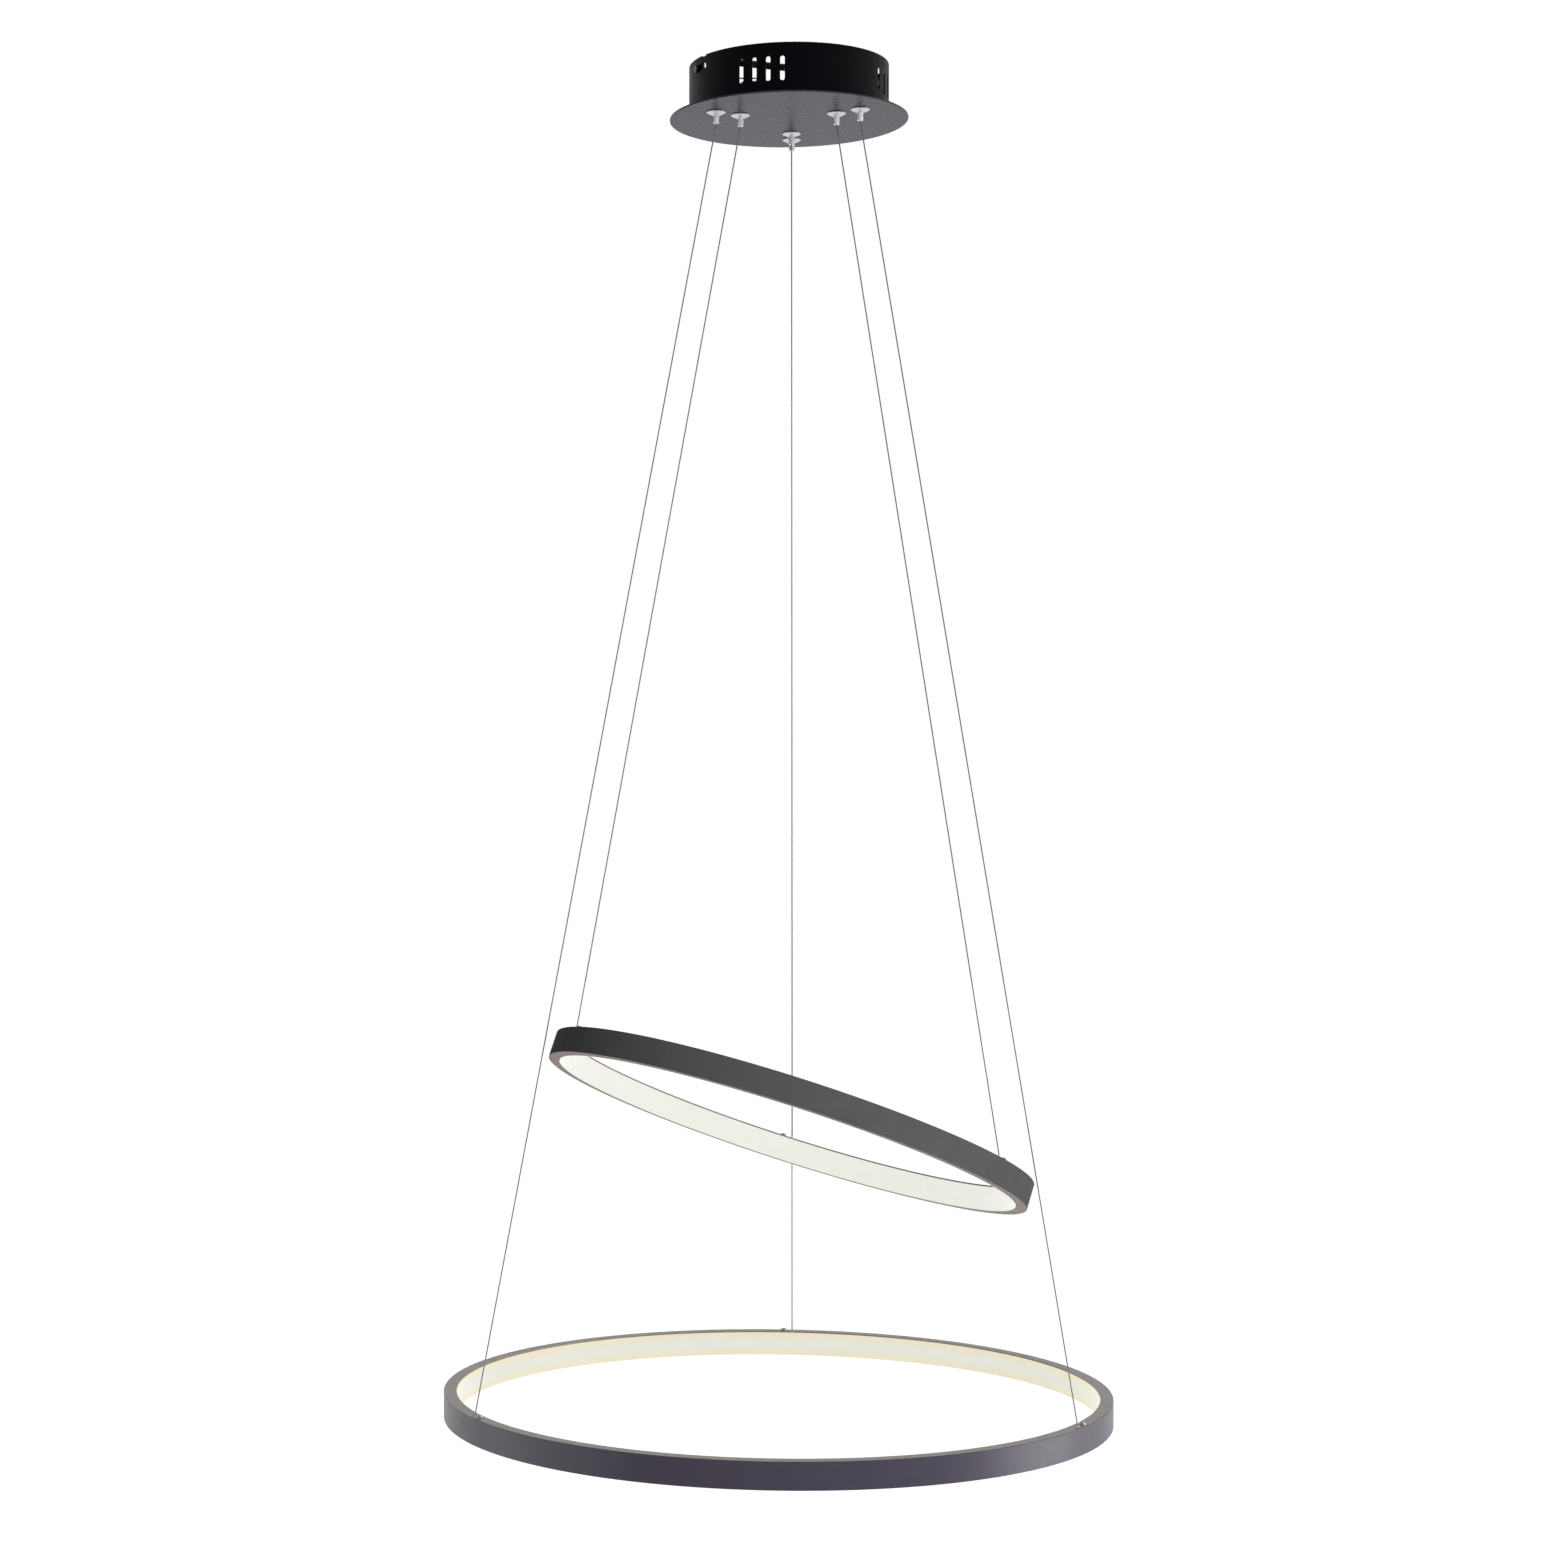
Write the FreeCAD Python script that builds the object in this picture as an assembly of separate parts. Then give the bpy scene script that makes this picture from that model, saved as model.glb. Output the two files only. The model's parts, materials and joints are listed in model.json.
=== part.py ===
import FreeCAD, Part
import math
import os

# Ring chandelier: two LED rings hung from a round ceiling canopy by three taut wires each.
# Millimetres, +Z up. The origin is the centre of the canopy on the ceiling, and the front is -Y.
# Plan angles are in degrees from +X, counter-clockwise seen from above.

V = FreeCAD.Vector
UP = V(0, 0, 1)

# --- canopy: a cup with vents on a round cover plate
CUP_RADIUS = 90.0
CUP_WALL = 0.8
CUP_DEPTH = 46.4
CUP_FLANGE = 5.0
CUP_CEILING_GAP = 0.5
PLATE_RADIUS = 107.5
PLATE_THICKNESS = 1.5
PLATE_EDGE_ROUND = 0.4
VENT_GROUPS = 4
VENTS_IN_GROUP = 4
VENT_GROUP_ANGLE = -109.7
VENT_PITCH_ANGLE = 8.0
VENT_HEIGHT = 21.5
VENT_WIDTH = 4.0
VENT_DROP = 23.2

# --- ceiling bracket and its two side screws, which the cup hooks onto and turns under
STRAP_ANGLE = -158.8
STRAP_WIDTH = 18.0
STRAP_THICKNESS = 1.5
STRAP_BEND = 2.5
EAR_DROP = 16.0
EAR_CLEARANCE = 0.3
CEILING_HOLE_SPACING = 70.0
CEILING_HOLE_RADIUS = 2.6
CABLE_HOLE_RADIUS = 5.0
SIDE_SCREW_RADIUS = 2.0
SIDE_SCREW_DROP = 10.0
SIDE_SCREW_REACH = 5.0
SIDE_SCREW_HEAD_RADIUS = 3.6
SIDE_SCREW_HEAD_HEIGHT = 2.2
SIDE_SCREW_HEAD_ROUND = 1.1
SIDE_SCREW_CLEARANCE = 0.3
BAYONET_TURN = 8.0
BAYONET_ENTRY_WIDTH = 6.0

# --- wire grips: a flanged body through the plate, with a sprung plunger and three clamping balls
WIRE_RADIUS = 0.6
GRIP_FLANGE_RADIUS = 8.5
GRIP_RIM = 0.8
GRIP_CONE_DEPTH = 3.4
GRIP_NOSE_RADIUS = 3.3
GRIP_BARREL_RADIUS = 4.0
GRIP_BARREL_HEIGHT = 16.0
GRIP_HOLE_CLEARANCE = 0.2
GRIP_CAP_THICKNESS = 1.5
GRIP_CHAMBER_RADIUS = 3.2
GRIP_CONE_TOP = 9.0
GRIP_CONE_BOTTOM = 4.0
GRIP_STEP = 2.4
PLUNGER_RADIUS = 2.6
PLUNGER_CLEARANCE = 0.1
PLUNGER_REACH = 10.4
PLUNGER_STROKE = 2.0
PLUNGER_BORE_RADIUS = 0.85
CAGE_RADIUS = 1.7
CAGE_CLEARANCE = 0.3
COLLAR_RADIUS = 2.85
COLLAR_HEIGHT = 1.0
SPRING_LENGTH = 4.5
SPRING_WALL = 0.6
BALL_RADIUS = 0.9
BALL_GAP = 0.05
BALLS_IN_GRIP = 3
NUT_ACROSS_FLATS = 13.0
NUT_HEIGHT = 3.0
THREAD_CLEARANCE = 0.05

# --- driver, wiring and terminals on the cover plate
DRIVER_SIZE = (60.0, 84.0, 17.0)
DRIVER_CENTRE_Y = -4.0
DRIVER_WALL = 1.5
DRIVER_CORNER = 4.0
LID_HEIGHT = 2.0
PAD_SIZE = (44.0, 14.0, 1.0)
TERMINAL_SIZE = (20.0, 30.0, 15.0)
TERMINAL_CENTRE = (48.0, 12.0)
TERMINAL_POLES = 3
TERMINAL_PORT_RADIUS = 1.9
TERMINAL_PORT_DEPTH = 6.0
INPUT_LEAD_RADIUS = 1.1
EARTH_STUD_PLACE = (48.0, 46.0)
EARTH_STUD_RADIUS = 2.0
EARTH_STUD_HEIGHT = 9.0
EARTH_NUT_ACROSS_FLATS = 7.0
EARTH_NUT_HEIGHT = 3.2
EARTH_TAG_RADIUS = 4.0
EARTH_TAG_THICKNESS = 0.8
LEAD_RADIUS = 0.7
LEAD_RISE = 8.4
LEAD_LANDING_INSET = 7.0
CRIMP_RADIUS = 1.3
CRIMP_LENGTH = 5.0
CRIMP_GAP = 0.5
CRIMP_BORE_CLEARANCE = 0.05
WIRE_TO_LEAD_GAP = 0.05
LEAD_BEND_SHARE = 0.45

# --- ring profile: an aluminium channel open to the inside, closed by an opal diffuser
RING_HEIGHT = 23.5
RING_WIDTH = 11.5
RING_WALL = 1.2
RING_EDGE_ROUND = 0.5
LOWER_LIP = 10.2
RIB_INSET = 8.1
RIB_WIDTH = 0.9
RIB_HEIGHT = 1.5
DIFFUSER_INSET = 11.2
DIFFUSER_THICKNESS = 2.0
DIFFUSER_FIT = 0.1
FLANGE_HOLE_CLEARANCE = 0.1
STRIP_HEIGHT = 10.0
STRIP_THICKNESS = 0.3
STRIP_SEAM_ANGLE = 2.0
LED_SIZE = (3.5, 0.8, 2.8)
LED_PITCH = 38.0
TAPE_THICKNESS = 0.6
SOLDER_GAP = 0.02

# --- wire clamps in the rings
ANCHOR_INSET = 5.9
BLOCK_LENGTH = 16.5
BLOCK_BEFORE_WIRE = 4.0
BLOCK_WIDTH = 5.0
BLOCK_OUTER_INSET = 2.9
BLOCK_HEIGHT = 8.0
THROAT_RADIUS = 0.95
THROAT_DEPTH = 0.8
STOP_RADIUS = 1.2
STOP_CLEARANCE = 0.3
STOP_BORE_CLEARANCE = 0.05
BUSH_RADIUS = 1.85
BUSH_HEAD_RADIUS = 2.3
BUSH_HEAD_HEIGHT = 0.3
BUSH_MOUTH_RADIUS = 1.5
BUSH_BORE_RADIUS = 0.9
CLAMP_SCREW_SPACING = 8.5
CLAMP_SCREW_RADIUS = 1.5
CLAMP_SCREW_HEAD_RADIUS = 3.2
CLAMP_SCREW_HEAD_HEIGHT = 2.0
CLAMP_SCREW_HEAD_ROUND = 1.2
CLAMP_SCREW_RECESS_FLATS = 2.5
CLAMP_SCREW_RECESS_DEPTH = 1.1

# --- suspension: where each wire leaves the canopy and meets its ring
WIRE_BEND = 4.0
BEND_STANDOFF = 0.8
LOWER_RING_RADIUS = 300.0
LOWER_RING_DROP = 1193.5
LOWER_RING_SHIFT = (-10.5, 0.0)
LOWER_GRIP_CIRCLE = 75.0
UPPER_RING_RADIUS = 225.0
UPPER_RING_DROP = 942.9
UPPER_RING_SHIFT = (4.7, 4.6)
UPPER_RING_LEAN = (0.334, 0.209)
UPPER_GRIP_CIRCLE = 50.0
LOWER_RING = {
    "radius": LOWER_RING_RADIUS,
    "top_centre": V(*LOWER_RING_SHIFT, -LOWER_RING_DROP),
    "normal": UP,
    "grip_circle": LOWER_GRIP_CIRCLE,
    "grip_angles": {"back": 83.8, "left": 206.3, "right": 323.5},
    "anchor_angles": {"back": 83.0, "left": 204.5, "right": 326.2},
}
UPPER_RING = {
    "radius": UPPER_RING_RADIUS,
    "top_centre": V(*UPPER_RING_SHIFT, -UPPER_RING_DROP),
    "normal": V(*UPPER_RING_LEAN, 1.0),
    "grip_circle": UPPER_GRIP_CIRCLE,
    "grip_angles": {"back": 83.0, "left": 206.0, "right": 324.0},
    "anchor_angles": {"back": 84.0, "left": 198.0, "right": 321.2},
}
RINGS = {"lower": LOWER_RING, "upper": UPPER_RING}

# --- levels and cutter sizes that follow from the sizes above
WALL_CUT_START = CUP_RADIUS - 2 * CUP_WALL
WALL_CUT_DEPTH = 3 * CUP_WALL
PLATE_TOP = -(CUP_CEILING_GAP + CUP_DEPTH)
PLATE_BOTTOM = PLATE_TOP - PLATE_THICKNESS
GRIP_TOP = PLATE_BOTTOM + GRIP_BARREL_HEIGHT
PLUNGER_TIP = PLATE_BOTTOM - PLUNGER_REACH
CAP_BOTTOM = GRIP_BARREL_HEIGHT - GRIP_CAP_THICKNESS
COLLAR_BOTTOM = CAP_BOTTOM - SPRING_LENGTH - COLLAR_HEIGHT
PAD_TOP = PLATE_TOP + PAD_SIZE[2]
DRIVER_TOP = PAD_TOP + DRIVER_SIZE[2]
CRIMP_BOTTOM = GRIP_TOP + CRIMP_GAP
CRIMP_TOP = CRIMP_BOTTOM + CRIMP_LENGTH
BLOCK_TOP = -RING_WALL
SOCKET_TOP = BLOCK_TOP - THROAT_DEPTH
STOP_LEVEL = SOCKET_TOP - STOP_CLEARANCE - STOP_RADIUS
BEND_LEVEL = BUSH_HEAD_HEIGHT + BEND_STANDOFF


def in_plan(radius, angle, z=0.0):
    """The point at a plan angle and radius."""
    a = math.radians(angle)
    return V(radius * math.cos(a), radius * math.sin(a), z)


def turned(shape, angle):
    """A copy turned about the vertical axis through the origin."""
    copy = shape.copy()
    copy.rotate(V(0, 0, 0), UP, angle)
    return copy


def moved(shape, place):
    """A copy moved by a vector."""
    copy = shape.copy()
    copy.translate(place)
    return copy


def outline(corners):
    """A closed wire in the XZ plane through corners (x, z, rounding radius)."""
    edges = []
    starts, ends = [], []
    count = len(corners)
    for i in range(count):
        x, z, radius = corners[i]
        here = V(x, 0, z)
        before = V(corners[i - 1][0], 0, corners[i - 1][1]) - here
        after = V(corners[(i + 1) % count][0], 0, corners[(i + 1) % count][1]) - here
        before.normalize()
        after.normalize()
        if radius > 0:
            half = before.getAngle(after) / 2
            reach = radius / math.tan(half)
            inward = before + after
            inward.normalize()
            middle = here + inward * (radius / math.sin(half) - radius)
            starts.append(here + before * reach)
            ends.append(here + after * reach)
            edges.append((i, Part.Arc(starts[-1], middle, ends[-1]).toShape()))
        else:
            starts.append(here)
            ends.append(here)
    for i in range(count):
        line = Part.LineSegment(ends[i], starts[(i + 1) % count]).toShape()
        edges.append((i + 0.5, line))
    edges.sort(key=lambda pair: pair[0])
    return Part.Wire([edge for _, edge in edges])


def revolved(corners, angle=360.0):
    """A solid turned about Z from a section of corners (radius, z, rounding radius)."""
    return Part.Face(outline(corners)).revolve(V(0, 0, 0), UP, angle)


def tube(outer, inner, low, high, angle=360.0):
    """A plain tube about Z, or a part turn of one."""
    section = [(inner, low, 0), (outer, low, 0), (outer, high, 0), (inner, high, 0)]
    return revolved(section, angle)


def rounded_box(size, corner, low):
    """A box centred on Z with rounded upright edges, standing on a level."""
    box = Part.makeBox(size[0], size[1], size[2], V(-size[0] / 2, -size[1] / 2, low))
    upright = [edge for edge in box.Edges if edge.BoundBox.ZLength > size[2] / 2]
    return box.makeFillet(corner, upright)


def hexagon_bar(across_flats, low, height):
    """A hexagonal bar about Z."""
    corner = across_flats / math.sqrt(3)
    points = [in_plan(corner, 360 / 6 * i, low) for i in range(6)]
    return Part.Face(Part.makePolygon(points + points[:1])).extrude(V(0, 0, height))


def plain_nut(across_flats, bore_radius, low, height):
    """A hexagonal nut about Z."""
    bore = Part.makeCylinder(bore_radius, height, V(0, 0, low))
    return hexagon_bar(across_flats, low, height).cut(bore)


def bent_path(points, radius):
    """Straight runs through the points, joined by tangent arcs of one radius."""
    edges = []
    at = points[0]
    for before, here, after in zip(points, points[1:], points[2:]):
        back = before - here
        back.normalize()
        on = after - here
        on.normalize()
        half = back.getAngle(on) / 2
        reach = radius / math.tan(half)
        inward = back + on
        inward.normalize()
        start = here + back * reach
        end = here + on * reach
        middle = here + inward * (radius / math.sin(half) - radius)
        edges.append(Part.LineSegment(at, start).toShape())
        edges.append(Part.Arc(start, middle, end).toShape())
        at = end
    edges.append(Part.LineSegment(at, points[-1]).toShape())
    return Part.Wire(edges)


def bent_tube(name, points, bend, radius):
    """A round tube along a bent path, with its volume compared with section times length."""
    path = bent_path(points, bend)
    run = points[1] - points[0]
    section = Part.Wire(Part.makeCircle(radius, points[0], run))
    solid = path.makePipeShell([section], True, False)
    share = solid.Volume / (math.pi * radius**2 * path.Length)
    print(f"{name}: length {path.Length:.1f}, bend radius {bend:.1f}, volume share {share:.4f}")
    return solid


def canopy_cup():
    """The vented cup, with an inward flange below and two bayonet slots open at the top."""
    top = -CUP_CEILING_GAP
    inner = CUP_RADIUS - CUP_WALL
    cup = revolved([
        (inner, top, 0),
        (inner, PLATE_TOP + CUP_WALL, 0),
        (inner - CUP_FLANGE, PLATE_TOP + CUP_WALL, 0),
        (inner - CUP_FLANGE, PLATE_TOP, 0),
        (CUP_RADIUS, PLATE_TOP, CUP_WALL),
        (CUP_RADIUS, top, 0),
    ])
    for group in range(VENT_GROUPS):
        for i in range(VENTS_IN_GROUP):
            offset = (i - (VENTS_IN_GROUP - 1) / 2) * VENT_PITCH_ANGLE
            angle = VENT_GROUP_ANGLE + 360 / VENT_GROUPS * group + offset
            cup = cup.cut(turned(vent_cutter(), angle))
    for side in (0, 180):
        cup = cup.cut(turned(bayonet_cutter(), STRAP_ANGLE + side))
    return cup


def wall_cutter(radius, z):
    """A round bar along +X that goes through the cup's wall."""
    return Part.makeCylinder(radius, WALL_CUT_DEPTH, V(WALL_CUT_START, 0, z), V(1, 0, 0))


def vent_cutter():
    """One upright slot with round ends, through the wall at +X."""
    radius = VENT_WIDTH / 2
    half = VENT_HEIGHT / 2 - radius
    corner = V(WALL_CUT_START, -radius, -VENT_DROP - half)
    web = Part.makeBox(WALL_CUT_DEPTH, VENT_WIDTH, 2 * half, corner)
    ends = [wall_cutter(radius, -VENT_DROP + half), wall_cutter(radius, -VENT_DROP - half)]
    return web.fuse(ends)


def bayonet_cutter():
    """The L-shaped slot: its closed end lies round the screw at +X, and its open leg one turn on."""
    half = SIDE_SCREW_RADIUS + SIDE_SCREW_CLEARANCE
    low = -SIDE_SCREW_DROP - half
    leg = tube(WALL_CUT_START + WALL_CUT_DEPTH, WALL_CUT_START, low, low + 2 * half, BAYONET_TURN)
    seat = wall_cutter(half, -SIDE_SCREW_DROP)
    corner = V(WALL_CUT_START, -BAYONET_ENTRY_WIDTH / 2, low)
    entry = Part.makeBox(WALL_CUT_DEPTH, BAYONET_ENTRY_WIDTH, -low, corner)
    return leg.fuse([seat, turned(entry, BAYONET_TURN)])


def canopy_plate():
    """The cover plate with a hole for each grip."""
    plate = revolved([
        (0, PLATE_TOP, 0),
        (0, PLATE_BOTTOM, 0),
        (PLATE_RADIUS, PLATE_BOTTOM, PLATE_EDGE_ROUND),
        (PLATE_RADIUS, PLATE_TOP, PLATE_EDGE_ROUND),
    ])
    hole_radius = GRIP_BARREL_RADIUS + GRIP_HOLE_CLEARANCE
    holes = [
        Part.makeCylinder(hole_radius, PLATE_THICKNESS, place + V(0, 0, PLATE_BOTTOM))
        for place in grip_places().values()
    ]
    return plate.cut(holes)


def ear_face():
    """Distance of an ear's outer face from the axis, where its edges clear the cup's wall."""
    reach = CUP_RADIUS - CUP_WALL - EAR_CLEARANCE
    return math.sqrt(reach**2 - (STRAP_WIDTH / 2) ** 2)


def ceiling_bracket():
    """The strap with its two turned-down ears, drilled for the ceiling, the cable and the screws."""
    face = ear_face()
    inner = face - STRAP_THICKNESS
    inside_bend = STRAP_BEND - STRAP_THICKNESS
    section = outline([
        (-face, 0, STRAP_BEND),
        (face, 0, STRAP_BEND),
        (face, -EAR_DROP, 0),
        (inner, -EAR_DROP, 0),
        (inner, -STRAP_THICKNESS, inside_bend),
        (-inner, -STRAP_THICKNESS, inside_bend),
        (-inner, -EAR_DROP, 0),
        (-face, -EAR_DROP, 0),
    ])
    strap = Part.Face(section).extrude(V(0, STRAP_WIDTH, 0))
    strap.translate(V(0, -STRAP_WIDTH / 2, 0))
    low = V(0, 0, -STRAP_THICKNESS)
    cutters = [Part.makeCylinder(CABLE_HOLE_RADIUS, STRAP_THICKNESS, low)]
    for side in (-1, 1):
        place = low + V(side * CEILING_HOLE_SPACING / 2, 0, 0)
        cutters.append(Part.makeCylinder(CEILING_HOLE_RADIUS, STRAP_THICKNESS, place))
    thread = SIDE_SCREW_RADIUS + THREAD_CLEARANCE
    cutters.append(Part.makeCylinder(thread, 2 * face, V(-face, 0, -SIDE_SCREW_DROP), V(1, 0, 0)))
    return turned(strap.cut(cutters), STRAP_ANGLE)


def side_screw():
    """One pan-head screw along +X, with its head just outside the cup."""
    under_head = CUP_RADIUS + SIDE_SCREW_CLEARANCE
    tip = ear_face() - STRAP_THICKNESS - SIDE_SCREW_REACH
    screw = revolved([
        (0, tip, 0),
        (SIDE_SCREW_RADIUS, tip, 0),
        (SIDE_SCREW_RADIUS, under_head, 0),
        (SIDE_SCREW_HEAD_RADIUS, under_head, 0),
        (SIDE_SCREW_HEAD_RADIUS, under_head + SIDE_SCREW_HEAD_HEIGHT, SIDE_SCREW_HEAD_ROUND),
        (0, under_head + SIDE_SCREW_HEAD_HEIGHT, 0),
    ])
    screw.rotate(V(0, 0, 0), V(0, 1, 0), 90)
    screw.translate(V(0, 0, -SIDE_SCREW_DROP))
    return screw


def grip_places():
    """Where each grip's axis meets the plate: {(ring, side): point}."""
    return {
        (ring, side): in_plan(data["grip_circle"], angle)
        for ring, data in RINGS.items()
        for side, angle in data["grip_angles"].items()
    }


def grip_body():
    """The flanged body on the plate's underside, with its barrel, guide bore and inner cone."""
    guide = PLUNGER_RADIUS + PLUNGER_CLEARANCE
    cage = CAGE_RADIUS + CAGE_CLEARANCE
    section = [
        (guide, -GRIP_CONE_DEPTH, 0),
        (GRIP_NOSE_RADIUS, -GRIP_CONE_DEPTH, 0),
        (GRIP_FLANGE_RADIUS, -GRIP_RIM, 0),
        (GRIP_FLANGE_RADIUS, 0, 0),
        (GRIP_BARREL_RADIUS, 0, 0),
        (GRIP_BARREL_RADIUS, GRIP_BARREL_HEIGHT, 0),
        (GRIP_CHAMBER_RADIUS, GRIP_BARREL_HEIGHT, 0),
        (GRIP_CHAMBER_RADIUS, GRIP_CONE_TOP, 0),
        (cage, GRIP_CONE_BOTTOM, 0),
        (cage, GRIP_STEP, 0),
        (guide, GRIP_STEP, 0),
    ]
    return moved(revolved(section), V(0, 0, PLATE_BOTTOM))


def grip_cap():
    """The plug in the top of the barrel that holds the spring down."""
    radius = GRIP_CHAMBER_RADIUS - THREAD_CLEARANCE
    return tube(radius, PLUNGER_BORE_RADIUS, PLATE_BOTTOM + CAP_BOTTOM, GRIP_TOP)


def ball_places():
    """Centres of the clamping balls round the wire."""
    level = PLATE_BOTTOM + ball_level()
    around = WIRE_RADIUS + BALL_RADIUS + BALL_GAP
    return [in_plan(around, 360 / BALLS_IN_GRIP * i, level) for i in range(BALLS_IN_GRIP)]


def ball_level():
    """Level above the plate's underside where a ball just clears the inner cone."""
    slope = math.atan2(
        GRIP_CHAMBER_RADIUS - CAGE_RADIUS - CAGE_CLEARANCE, GRIP_CONE_TOP - GRIP_CONE_BOTTOM
    )
    around = WIRE_RADIUS + BALL_RADIUS + BALL_GAP
    needed = around + (BALL_RADIUS + CAGE_CLEARANCE) / math.cos(slope)
    per_level = math.tan(slope)
    return GRIP_CONE_BOTTOM + (needed - CAGE_RADIUS - CAGE_CLEARANCE) / per_level


def grip_plunger():
    """The release tube with its ball cage and the collar under the spring."""
    shoulder = GRIP_STEP - PLUNGER_STROKE - CAGE_CLEARANCE
    section = [
        (PLUNGER_BORE_RADIUS, -PLUNGER_REACH, 0),
        (PLUNGER_RADIUS, -PLUNGER_REACH, 0),
        (PLUNGER_RADIUS, shoulder, 0),
        (CAGE_RADIUS, shoulder, 0),
        (CAGE_RADIUS, COLLAR_BOTTOM, 0),
        (COLLAR_RADIUS, COLLAR_BOTTOM, 0),
        (COLLAR_RADIUS, COLLAR_BOTTOM + COLLAR_HEIGHT, 0),
        (PLUNGER_BORE_RADIUS, COLLAR_BOTTOM + COLLAR_HEIGHT, 0),
    ]
    plunger = moved(revolved(section), V(0, 0, PLATE_BOTTOM))
    pocket = BALL_RADIUS + BALL_GAP
    pockets = []
    for place in ball_places():
        outward = V(place.x, place.y, 0)
        pockets.append(Part.makeCylinder(pocket, COLLAR_RADIUS, V(0, 0, place.z), outward))
    return plunger.cut(pockets)


def grip_balls():
    """The three clamping balls of one grip."""
    return Part.makeCompound([Part.makeSphere(BALL_RADIUS, place) for place in ball_places()])


def grip_spring():
    """The spring's envelope inside the barrel, between the collar and the cap."""
    bottom = PLATE_BOTTOM + COLLAR_BOTTOM + COLLAR_HEIGHT
    return tube(COLLAR_RADIUS, COLLAR_RADIUS - SPRING_WALL, bottom, bottom + SPRING_LENGTH)


def grip_nut():
    """The thin nut that holds a grip to the plate."""
    bore = GRIP_BARREL_RADIUS + THREAD_CLEARANCE
    return plain_nut(NUT_ACROSS_FLATS, bore, PLATE_TOP, NUT_HEIGHT)


def driver_case():
    """The driver's tray, open at the top, on its pads."""
    width, length, height = DRIVER_SIZE
    tray = rounded_box((width, length, height - LID_HEIGHT), DRIVER_CORNER, PAD_TOP)
    hollow_size = (width - 2 * DRIVER_WALL, length - 2 * DRIVER_WALL, height)
    hollow = rounded_box(hollow_size, DRIVER_CORNER - DRIVER_WALL, PAD_TOP + DRIVER_WALL)
    return moved(tray.cut(hollow), V(0, DRIVER_CENTRE_Y, 0))


def driver_lid():
    """The driver's lid, which closes the tray."""
    width, length, _ = DRIVER_SIZE
    size = (width, length, LID_HEIGHT)
    return moved(rounded_box(size, DRIVER_CORNER, DRIVER_TOP - LID_HEIGHT), V(0, DRIVER_CENTRE_Y, 0))


def driver_pads():
    """Two adhesive foam pads under the driver."""
    pads = []
    for side in (-1, 1):
        y = DRIVER_CENTRE_Y + side * (DRIVER_SIZE[1] / 2 - PAD_SIZE[1])
        corner = V(-PAD_SIZE[0] / 2, y - PAD_SIZE[1] / 2, PLATE_TOP)
        pads.append(Part.makeBox(PAD_SIZE[0], PAD_SIZE[1], PAD_SIZE[2], corner))
    return Part.makeCompound(pads)


def port_places():
    """Centres of the terminal block's wire ports on its side towards the driver."""
    width, length, height = TERMINAL_SIZE
    pitch = length / TERMINAL_POLES
    x = TERMINAL_CENTRE[0] - width / 2
    return [
        V(x, TERMINAL_CENTRE[1] + (i - (TERMINAL_POLES - 1) / 2) * pitch, PLATE_TOP + height / 2)
        for i in range(TERMINAL_POLES)
    ]


def terminal_block():
    """The mains terminal block, with a port on both sides and a screw well over each pole."""
    width, length, height = TERMINAL_SIZE
    corner = V(TERMINAL_CENTRE[0] - width / 2, TERMINAL_CENTRE[1] - length / 2, PLATE_TOP)
    block = Part.makeBox(width, length, height, corner)
    cutters = []
    for port in port_places():
        far = port + V(width - TERMINAL_PORT_DEPTH, 0, 0)
        for start in (port, far):
            depth = TERMINAL_PORT_DEPTH
            cutters.append(Part.makeCylinder(TERMINAL_PORT_RADIUS, depth, start, V(1, 0, 0)))
        well = V(TERMINAL_CENTRE[0], port.y, PLATE_TOP + height - TERMINAL_PORT_DEPTH)
        cutters.append(Part.makeCylinder(TERMINAL_PORT_RADIUS, TERMINAL_PORT_DEPTH, well))
    return block.cut(cutters)


def input_leads():
    """The two mains leads from the terminal block to the driver's side."""
    driver_side = DRIVER_SIZE[0] / 2
    leads = []
    for port in port_places()[:2]:
        length = port.x + TERMINAL_PORT_DEPTH - driver_side
        start = V(driver_side, port.y, port.z)
        leads.append(Part.makeCylinder(INPUT_LEAD_RADIUS, length, start, V(1, 0, 0)))
    return Part.makeCompound(leads)


def earth_stud():
    """The welded earth stud, its tag and its nut."""
    place = V(EARTH_STUD_PLACE[0], EARTH_STUD_PLACE[1], 0)
    stud = Part.makeCylinder(EARTH_STUD_RADIUS, EARTH_STUD_HEIGHT, V(0, 0, PLATE_TOP))
    bore = EARTH_STUD_RADIUS + THREAD_CLEARANCE
    tag = tube(EARTH_TAG_RADIUS, bore, PLATE_TOP, PLATE_TOP + EARTH_TAG_THICKNESS)
    nut_level = PLATE_TOP + EARTH_TAG_THICKNESS
    nut = plain_nut(EARTH_NUT_ACROSS_FLATS, bore, nut_level, EARTH_NUT_HEIGHT)
    return Part.makeCompound([moved(piece, place) for piece in (stud, tag, nut)])


def earth_lead():
    """The earth lead from the last pole's port round to the stud's tag."""
    port = port_places()[-1]
    level = PLATE_TOP + INPUT_LEAD_RADIUS
    turn_x = (port.x + DRIVER_SIZE[0] / 2) / 2
    tag = V(EARTH_STUD_PLACE[0] - EARTH_TAG_RADIUS, EARTH_STUD_PLACE[1], level)
    route = [
        port + V(TERMINAL_PORT_DEPTH, 0, 0),
        V(turn_x, port.y, port.z),
        V(turn_x, tag.y, level),
        tag,
    ]
    bend = LEAD_BEND_SHARE * (route[0] - route[1]).Length
    return bent_tube("earth lead", route, bend, INPUT_LEAD_RADIUS)


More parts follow.
